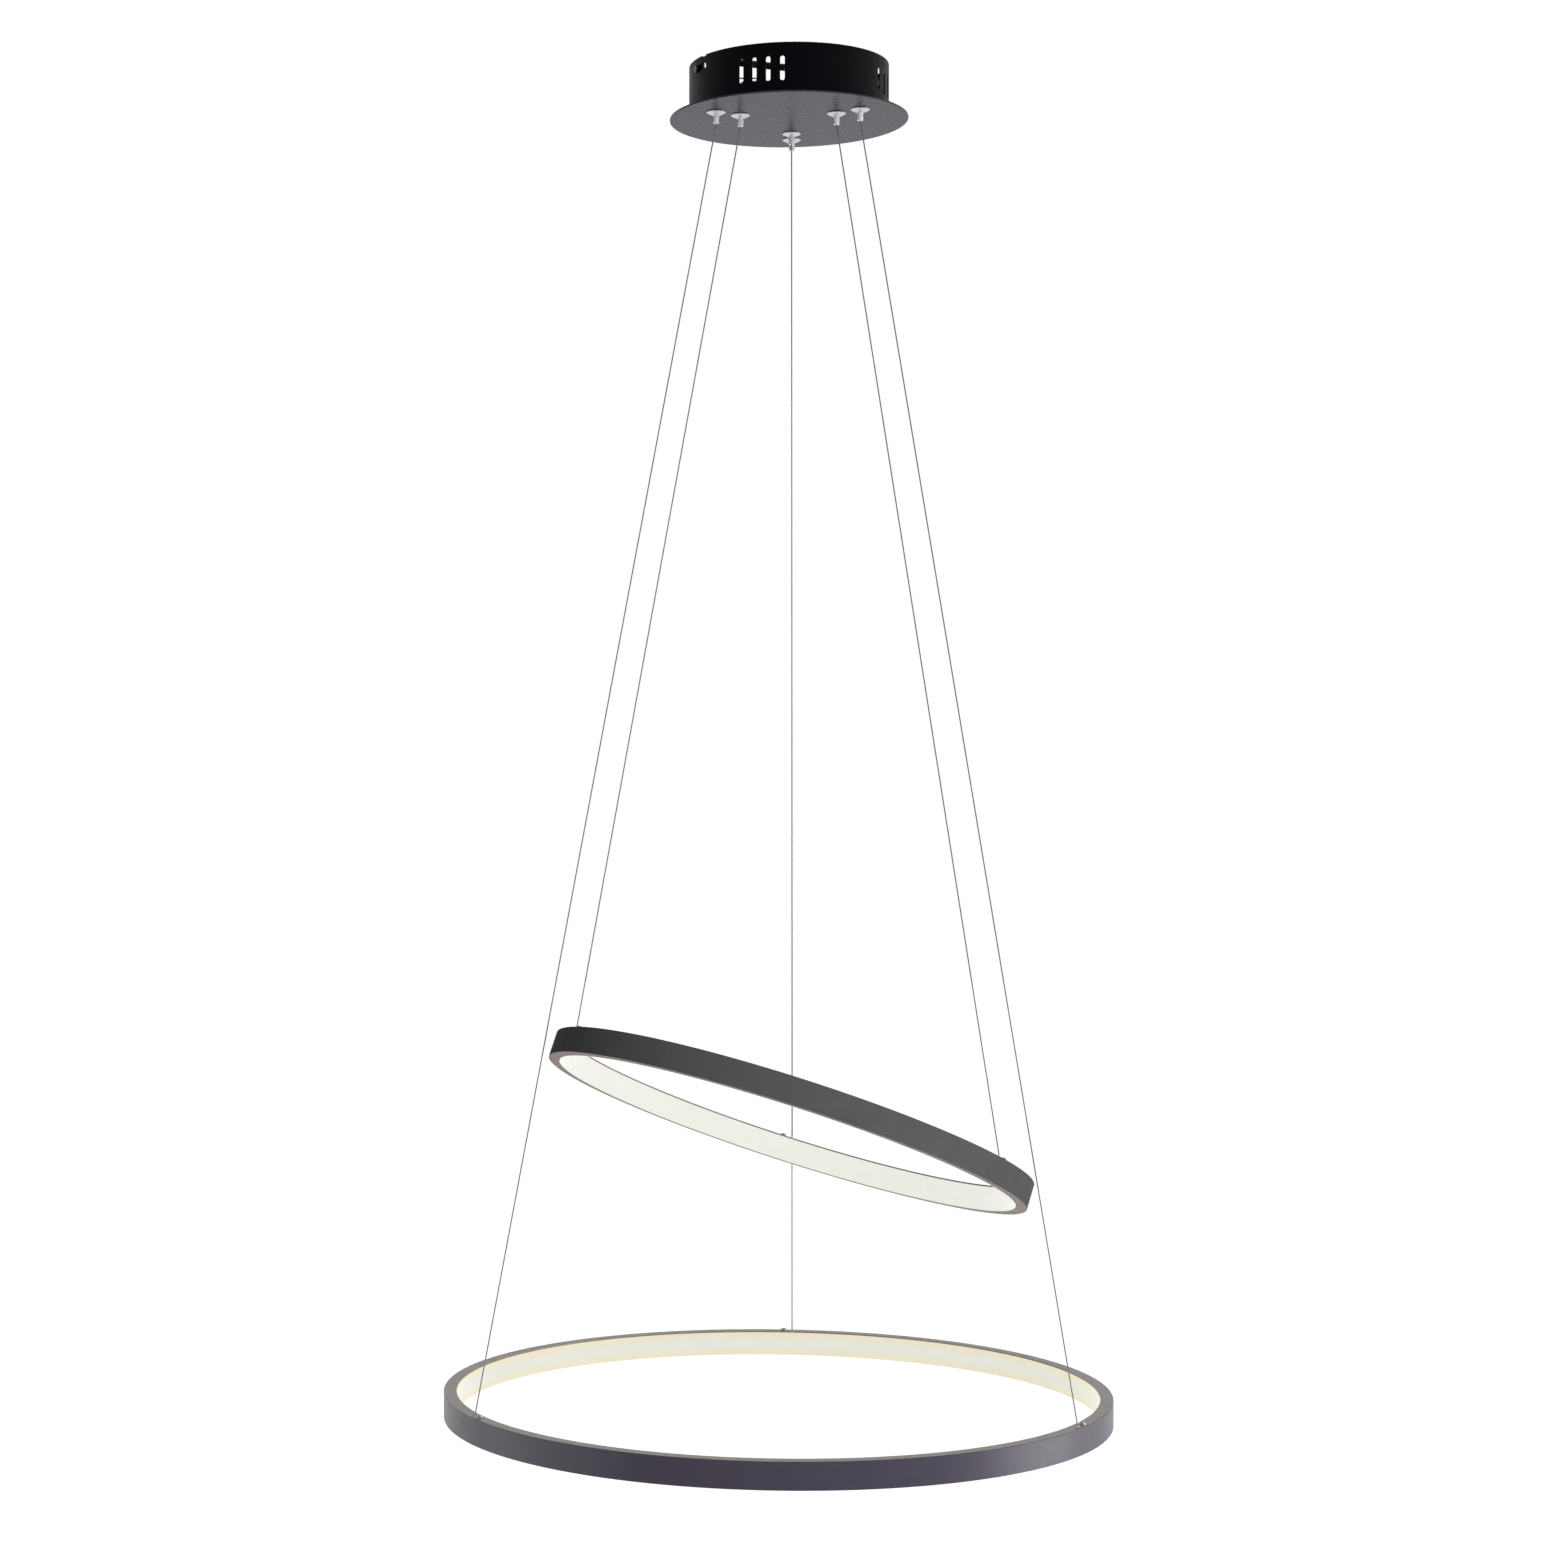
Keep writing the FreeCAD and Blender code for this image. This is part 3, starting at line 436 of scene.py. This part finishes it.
def stranded(name, colour, rough, pitch=0.0052, strands=6):
    """Twisted steel rope: the strands' lay as a slanting wave in the tube's own coordinates."""
    s = Shader(name)
    coordinates = s.tree.nodes.new("ShaderNodeTexCoord").outputs["UV"]
    parts = s.node("ShaderNodeSeparateXYZ", Vector=coordinates)
    along = s.maths("MULTIPLY", parts.outputs["Y"], strands / pitch)
    turns = s.maths("MULTIPLY_ADD", parts.outputs["X"], strands, along)
    wave = s.maths("SINE", s.maths("MULTIPLY", turns, 2 * math.pi))
    height = s.ranged(wave, 0.0, 1.0, start=-1.0, stop=1.0)
    # The colour follows the strands' relief: darker in the grooves between strands (painted shade),
    # lighter on their crowns (painted highlight).
    s.mottled(colour, height, darker=0.62, lighter=1.12)
    s.rough(rough, s.noise(500.0), down=0.06, up=0.08)
    s.values(Metallic=1.0)
    s.bump(height, 0.5, 0.00012)
    return s.material


def covered_lead(name, colour):
    """Extruded insulation, slightly glossy, with a faint grain."""
    s = Shader(name)
    s.mottled(colour, s.ranged(s.noise(120.0), 0.0, 1.0), darker=0.9, lighter=1.08)
    s.link(s.ranged(s.noise(420.0), 0.34, 0.46), "Roughness")
    s.bump(s.noise(2200.0, 2.0), 0.15, 0.00005)
    return s.material


def earth_lead_cover(name, ground, stripe_colour):
    """Insulation of one colour with a stripe of another."""
    stripes = 2600.0
    s = Shader(name)
    height = s.node("ShaderNodeSeparateXYZ", Vector=s.position).outputs["Z"]
    wave = s.maths("SINE", s.maths("MULTIPLY", height, stripes))
    stripe = s.ranged(wave, 0.0, 1.0, start=0.1, stop=0.3)
    s.link(s.mixed(stripe, ground, stripe_colour), "Base Color")
    s.link(s.ranged(s.noise(420.0), 0.36, 0.46), "Roughness")
    s.bump(s.noise(2200.0, 2.0), 0.15, 0.00005)
    return s.material


def glowing_band(name, middle, lit_edge_colour, glow, ring, edge_start, edge_stop):
    """Opal diffuser lit from behind: even in the middle, warmer towards its top and bottom edges."""
    unlit_share = 0.08
    s = Shader(name)
    row = ring_matrix(ring).inverted()[2]
    level = s.vector_maths("DOT_PRODUCT", s.position, (row[0], row[1], row[2]))
    from_middle = s.maths("ABSOLUTE", s.maths("ADD", level, row[3] - BAND_MIDDLE_LEVEL))
    near_edge = s.ranged(from_middle, 0.0, 1.0, edge_start, edge_stop)
    frosted = s.ranged(s.noise(90.0, 4.0), 0.97, 1.0)
    lit = s.scaled(s.mixed(near_edge, middle, lit_edge_colour), frosted)
    s.link(lit, "Emission Color")
    s.link(s.scaled(lit, unlit_share), "Base Color")
    s.link(s.ranged(s.noise(700.0, 2.0), 0.34, 0.44), "Roughness")
    s.values(Emission_Strength=glow, Specular_IOR_Level=0.1)
    s.bump(s.noise(1900.0, 2.0), 0.12, 0.00005, edge=0.0002)
    return s.material


LOOKS = {
    "black_steel": turned_metal("blackened_steel", (0.055, 0.055, 0.06), 0.32),
    "zinc": zinc("zinc_plated_steel", (0.62, 0.63, 0.65), 0.34),
    "black_paint": painted("black_cup_paint", (0.0016, 0.0014, 0.0026), 0.46, specular=0.07),
    "grey_paint": painted(
        "grey_plate_paint", (0.043, 0.0345, 0.0515), 0.28, specular=0.05, grain=0.00001
    ),
    "driver_white": moulded("driver_plastic", (0.78, 0.78, 0.76), 0.48),
    "foam": foam_rubber("foam_tape", (0.02, 0.02, 0.02)),
    "terminal_plastic": moulded("terminal_plastic", (0.70, 0.68, 0.60), 0.42),
    "lead_cover": covered_lead("brown_insulation", (0.16, 0.06, 0.03)),
    "earth_cover": earth_lead_cover("earth_insulation", (0.06, 0.30, 0.06), (0.75, 0.62, 0.05)),
    "output_cover": covered_lead("clear_insulation", (0.62, 0.61, 0.58)),
    "tin": turned_metal("tinned_copper", (0.70, 0.69, 0.67), 0.38),
    "chrome": turned_metal("chrome_plate", (0.64, 0.63, 0.65), 0.30),
    "ball_steel": turned_metal("ball_steel", (0.70, 0.70, 0.72), 0.10, axis=(1, 1, 1)),
    "spring_steel": turned_metal("spring_steel", (0.46, 0.46, 0.48), 0.30, axis=(1, 1, 0)),
    "wire_steel": stranded("stranded_steel", (0.42, 0.42, 0.43), 0.42),
    # Each ring's second colour is painted light on its top, bottom and inner faces, not a second
    # paint.
    "ring_grey": ring_paint_with_painted_light(
        "ring_grey_paint_painted_edge_light", (0.058, 0.049, 0.074), (0.22, 0.185, 0.17), RINGS["lower"],
        rough=0.36, specular=0.5,
    ),
    "ring_dark": ring_paint_with_painted_light(
        "ring_dark_paint_painted_edge_light", (0.095, 0.094, 0.094), (0.25, 0.215, 0.205), RINGS["upper"],
        rough=0.60, specular=0.03, ior=1.1,
    ),
    "strip_white": moulded("strip_resist", (0.82, 0.82, 0.80), 0.38, edge=0.0001),
    "led_yellow": moulded("led_phosphor", (0.85, 0.68, 0.16), 0.42, edge=0.0001),
    "block_plastic": moulded("block_plastic", (0.05, 0.05, 0.052), 0.5),
    "bush_white": moulded("bush_plastic", (0.72, 0.72, 0.70), 0.42, edge=0.0001),
    "brass": turned_metal("brass", (0.60, 0.42, 0.16), 0.28),
}
OPAL = {
    "lower": glowing_band(
        "opal_lower", (0.77, 0.77, 0.70), (0.84, 0.75, 0.52), 0.955, RINGS["lower"],
        edge_start=0.0015, edge_stop=0.0120,
    ),
    "upper": glowing_band(
        "opal_upper", (0.80, 0.81, 0.74), (0.76, 0.76, 0.66), 1.00, RINGS["upper"],
        edge_start=0.0100, edge_stop=0.0117,
    ),
}
# The grips' release plungers have a more satin plating than the grips, and a lighter, part-diffuse
# colour: painted reflection.
PLUNGER_CHROME_WITH_PAINTED_REFLECTION = turned_metal("satin_chrome_with_painted_reflection", (0.82, 0.80, 0.82), 0.40, metal=0.35)


def dress(obj, material):
    obj.data.materials.clear()
    obj.data.materials.append(material)


for part in frame["record"]["subparts"]:
    node, slot_name = part["node"], part["material_slot"]
    if slot_name == "opal":
        ring_name = node.split("_")[0]
        look = OPAL[ring_name]
    elif node.endswith("grip_plunger"):
        look = PLUNGER_CHROME_WITH_PAINTED_REFLECTION
    else:
        look = LOOKS[slot_name]
    dress(nodes[node], look)
for wire in wires:
    dress(wire, LOOKS["wire_steel"])

# ---------------------------------------------------------------- coil springs inside the grips
SPRING_TOP = -0.0339
SPRING_BOTTOM = -0.0384
COIL_TURNS = 5
STEPS_PER_TURN = 24
COIL_RADIUS = 0.00255
COIL_WIRE_RADIUS = 0.00022
FLAT_SHARE = 0.1


def coil_line(grip):
    """The middle of a coil's wire, which lies flat for a share of its length at each end."""
    low = SPRING_BOTTOM + COIL_WIRE_RADIUS
    rise = SPRING_TOP - SPRING_BOTTOM - 2 * COIL_WIRE_RADIUS
    steps = COIL_TURNS * STEPS_PER_TURN
    line = []
    for i in range(steps + 1):
        climbed = (i / steps - FLAT_SHARE) / (1 - 2 * FLAT_SHARE)
        z = low + rise * min(1, max(0, climbed))
        line.append(grip + in_plan(COIL_RADIUS, 360 * i / STEPS_PER_TURN, z))
    return line


for ring_name, ring in RINGS.items():
    for side in SIDES:
        grip = in_plan(ring["grip_circle"], ring["grips"][side])
        bm = bmesh.new()
        tube_along(bm, coil_line(grip), COIL_WIRE_RADIUS, sides=8)
        coil = from_bmesh(f"{ring_name}_{side}_spring_coil", bm)
        dress(coil, LOOKS["spring_steel"])
        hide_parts(f"{ring_name}_{side}_grip_spring")
        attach(coil, "canopy")
        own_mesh(coil)

# ---------------------------------------------------------------- floor, backdrop and light
# Glossy faces mirror a room that is bright behind the part, dimmer in front of it and overhead,
# and has a soft panel on each side. The camera sees plain white.
BRIGHT_SIDE = (0.30, 1.0, 0.0)
DIM_FLOOR = 0.10
DIM_WALL = 0.45
DIM_CEILING = 0.35
AMBIENT = 0.12
FLOOR_LEVEL = -2.6
FLOOR_HALF_WIDTH = 30.0
FLOOR_GLOW = 0.95

# name, place, aimed at, width and height, watts, mirrored in glossy faces
LIGHTS = (
    ("front_light", (1.5, -3.3, -0.2), (0, 0, -0.8), (1.6, 1.6), 110.0, False),
    ("top_light", (0.2, 0.3, 1.9), (0, 0, -0.6), (2.6, 2.6), 20.0, False),
    ("under_light", (0, 0.6, -2.5), (0, 0.6, 0), (2.0, 2.0), 34.0, False),
    ("left_panel", (-2.6, -0.3, -1.75), (0, 0, -1.2), (2.8, 1.0), 8.0, True),
    ("right_panel", (2.6, -0.1, -1.3), (0, 0, -1.1), (1.6, 1.4), 20.0, True),
)


def towards_bright_side(n, vector, start, stop, dim):
    """From dim to full brightness along the room's bright direction."""
    along = n.vector_maths("DOT_PRODUCT", vector, BRIGHT_SIDE)
    return n.ranged(along, dim, 1.0, start, stop, "SMOOTHSTEP")


def pale_floor():
    bm = bmesh.new()
    bmesh.ops.create_grid(bm, x_segments=1, y_segments=1, size=FLOOR_HALF_WIDTH)
    for vertex in bm.verts:
        vertex.co.z = FLOOR_LEVEL
    floor = from_bmesh("floor", bm)
    s = Shader("pale_floor")
    tone = s.ranged(s.noise(0.8), 0.0, 1.0)
    s.link(s.mixed(tone, (0.80, 0.80, 0.80), (0.83, 0.83, 0.83)), "Base Color")
    s.values(Roughness=0.9, Specular_IOR_Level=0.1)
    path = s.tree.nodes.new("ShaderNodeLightPath").outputs
    place = s.tree.nodes.new("ShaderNodeNewGeometry").outputs["Position"]
    mirrored = s.maths(
        "MULTIPLY", path["Is Glossy Ray"], towards_bright_side(s, place, -3.5, 0.6, DIM_FLOOR)
    )
    seen = s.maths("MAXIMUM", path["Is Camera Ray"], path["Is Transmission Ray"])
    strength = s.maths("ADD", s.maths("MULTIPLY", seen, FLOOR_GLOW), mirrored)
    glow = s.node("ShaderNodeEmission", Strength=strength).outputs[0]
    both = s.tree.nodes.new("ShaderNodeAddShader")
    s.tree.links.new(s.main.outputs[0], both.inputs[0])
    s.tree.links.new(glow, both.inputs[1])
    shown = s.tree.nodes.new("ShaderNodeMixShader")
    s.tree.links.new(path["Is Glossy Ray"], shown.inputs[0])
    s.tree.links.new(both.outputs[0], shown.inputs[1])
    s.tree.links.new(glow, shown.inputs[2])
    s.tree.links.new(shown.outputs[0], s.tree.nodes["Material Output"].inputs["Surface"])
    dress(floor, s.material)


def studio_room():
    world = bpy.data.worlds.new("studio")
    bpy.context.scene.world = world
    world.use_nodes = True
    world.node_tree.nodes.clear()
    n = Nodes(world.node_tree)
    path = n.node("ShaderNodeLightPath").outputs
    direction = n.node("ShaderNodeTexCoord").outputs["Generated"]
    upward = n.node("ShaderNodeSeparateXYZ", Vector=direction).outputs["Z"]
    overhead = n.ranged(upward, 1.0, DIM_CEILING, 0.25, 0.55, "SMOOTHSTEP")
    around = towards_bright_side(n, direction, -0.9, 0.3, DIM_WALL)
    mirrored = n.maths("MULTIPLY", around, overhead)
    seen = n.maths("MAXIMUM", path["Is Camera Ray"], path["Is Transmission Ray"])
    plain = n.mixed_number(seen, AMBIENT, 1.0)
    strength = n.mixed_number(path["Is Glossy Ray"], plain, mirrored)
    background = n.node("ShaderNodeBackground", Color=(1, 1, 1, 1), Strength=strength)
    n.node("ShaderNodeOutputWorld", Surface=background.outputs[0])


def softbox(name, place, target, size, power, mirrored):
    data = bpy.data.lights.new(name, "AREA")
    data.shape = "RECTANGLE"
    data.size, data.size_y = size
    data.energy = power
    lamp = bpy.data.objects.new(name, data)
    lamp.location = place
    lamp.rotation_mode = "QUATERNION"
    lamp.rotation_quaternion = (Vector(target) - Vector(place)).to_track_quat("-Z", "Y")
    lamp.visible_camera = False
    lamp.visible_glossy = mirrored
    bpy.context.collection.objects.link(lamp)


pale_floor()
studio_room()
for light in LIGHTS:
    softbox(*light)

bpy.context.scene.view_settings.view_transform = "Standard"
bpy.context.view_layer.update()
